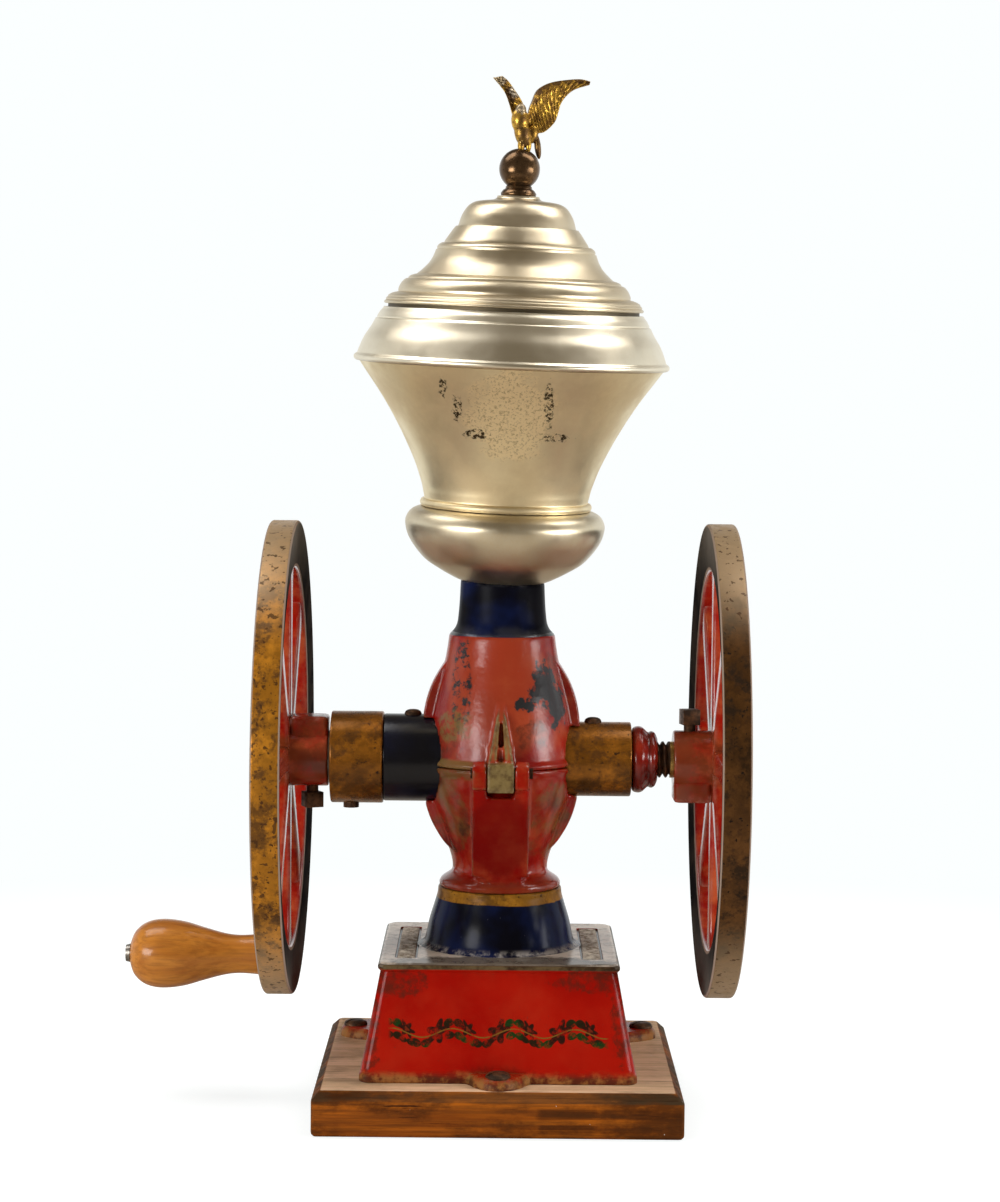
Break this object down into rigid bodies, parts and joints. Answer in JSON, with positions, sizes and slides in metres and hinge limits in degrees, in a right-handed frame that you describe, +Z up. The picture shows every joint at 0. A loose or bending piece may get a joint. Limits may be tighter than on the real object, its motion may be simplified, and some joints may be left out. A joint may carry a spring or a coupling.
{
  "type": "manual coffee grinder",
  "caption": "Counter-top hand coffee mill with spoked flywheels, crank handle, hinged egg-shaped casing, plated hopper with stepped lid and eagle finial, on a tapered base with a drawer.",
  "frame": {"origin": "centre of the underside of the wooden board", "axes": "+Z up, X along the flywheel shaft with the crank handle at -X, -Y the side with the casing hinge, +Y the side with the drawer"},
  "size_m": [0.3502, 0.273, 0.5883],
  "materials": {
    "board_wood": "aged brown wood with open grain",
    "red_paint": "glossy worn red enamel on cast iron",
    "navy_paint": "glossy near-black navy enamel on cast iron",
    "bronze_paint": "worn bronze with brown blotches",
    "old_bronze": "dark brown bronze",
    "gilt_bronze": "gilt with brown patina",
    "nickel_plate": "warm worn nickel plate, spun sheet",
    "rusty_steel": "rust-brown steel",
    "bright_steel": "plain worn steel",
    "bush_bronze": "machined bronze",
    "burr_iron": "bare cast iron",
    "grip_wood": "varnished turned wood",
    "drawer_wood": "plain wood"
  },
  "bodies": {
    "frame": {"base_board": "board_wood", "base_casting": "red_paint", "base_screws": "rusty_steel", "casing_bolts": "rusty_steel", "lower_casing": "red_paint", "hinge_pin": "rusty_steel", "left_bearing": "navy_paint", "left_bush": "bush_bronze", "spring_cap": "bronze_paint", "cap_screw": "rusty_steel", "right_bearing": "bronze_paint", "right_bush": "bush_bronze", "oil_screws": "rusty_steel", "fixed_burr": "burr_iron", "burr_screws": "rusty_steel", "thrust_spring": "bright_steel"},
    "drawer": {"drawer_front": "drawer_wood", "drawer_left_side": "drawer_wood", "drawer_right_side": "drawer_wood", "drawer_back": "drawer_wood", "drawer_bottom": "drawer_wood", "drawer_knob": "old_bronze"},
    "carrier": {"thrust_washer": "bush_bronze"},
    "rotor": {"shaft": "bright_steel", "left_wheel": "red_paint", "right_wheel": "red_paint", "left_set_screw": "rusty_steel", "right_set_screw": "rusty_steel", "rotating_burr": "burr_iron", "feed_screw": "burr_iron", "spring_seat": "bright_steel", "handle_pin": "bright_steel"},
    "grip": {"handle_grip": "grip_wood"},
    "regulator": {"regulator_screw": "bright_steel", "regulator_nut": "red_paint"},
    "upper": {"upper_casing": "red_paint", "hopper_bulb": "nickel_plate", "hopper_cone": "nickel_plate", "hopper_shoulder": "nickel_plate", "clamp_ring": "rusty_steel", "hopper_screws": "rusty_steel"},
    "lid": {"lid": "nickel_plate", "lid_collar": "nickel_plate", "finial_ball": "old_bronze", "finial_nut": "bush_bronze", "eagle": "gilt_bronze"},
    "clamp_slider": {"clamp_foot": "rusty_steel"},
    "clamp_turner": {"clamp_screw": "rusty_steel"}
  },
  "joints": [
    {"name": "grind_adjust", "type": "slide", "parent": "frame", "child": "carrier", "axis": [1, 0, 0], "range_m": [0, 0.001], "deforming": ["thrust_spring"]},
    {"name": "crank_spin", "type": "hinge", "parent": "carrier", "child": "rotor", "pos_m": [0, 0, 0.198], "axis": [1, 0, 0], "continuous": true},
    {"name": "handle_spin", "type": "hinge", "parent": "rotor", "child": "grip", "pos_m": [-0.17, 0, 0.082], "axis": [1, 0, 0], "continuous": true},
    {"name": "regulator_turn", "type": "hinge", "parent": "carrier", "child": "regulator", "pos_m": [0.085, 0, 0.198], "axis": [1, 0, 0], "range_deg": [0, 100]},
    {"name": "casing_hinge", "type": "hinge", "parent": "frame", "child": "upper", "pos_m": [0, -0.053, 0.1955], "axis": [1, 0, 0], "range_deg": [0, 70]},
    {"name": "lid_lift", "type": "slide", "parent": "upper", "child": "lid", "axis": [0.0314, -0.0523, 0.9981], "range_m": [0, 0.09]},
    {"name": "drawer_slide", "type": "slide", "parent": "frame", "child": "drawer", "axis": [0, 1, 0], "range_m": [0, 0.1]},
    {"name": "clamp_travel", "type": "slide", "parent": "frame", "child": "clamp_slider", "axis": [0, 1, 0], "range_m": [0, 0.0025]},
    {"name": "clamp_turn", "type": "hinge", "parent": "clamp_slider", "child": "clamp_turner", "pos_m": [0, 0.08, 0.206], "axis": [0, 1, 0], "range_deg": [0, 720]}
  ],
  "couplings": [
    {"joint": "regulator_turn", "follows": "grind_adjust", "rad_per_m": 1745},
    {"joint": "clamp_turn", "follows": "clamp_travel", "rad_per_m": 5026}
  ]
}
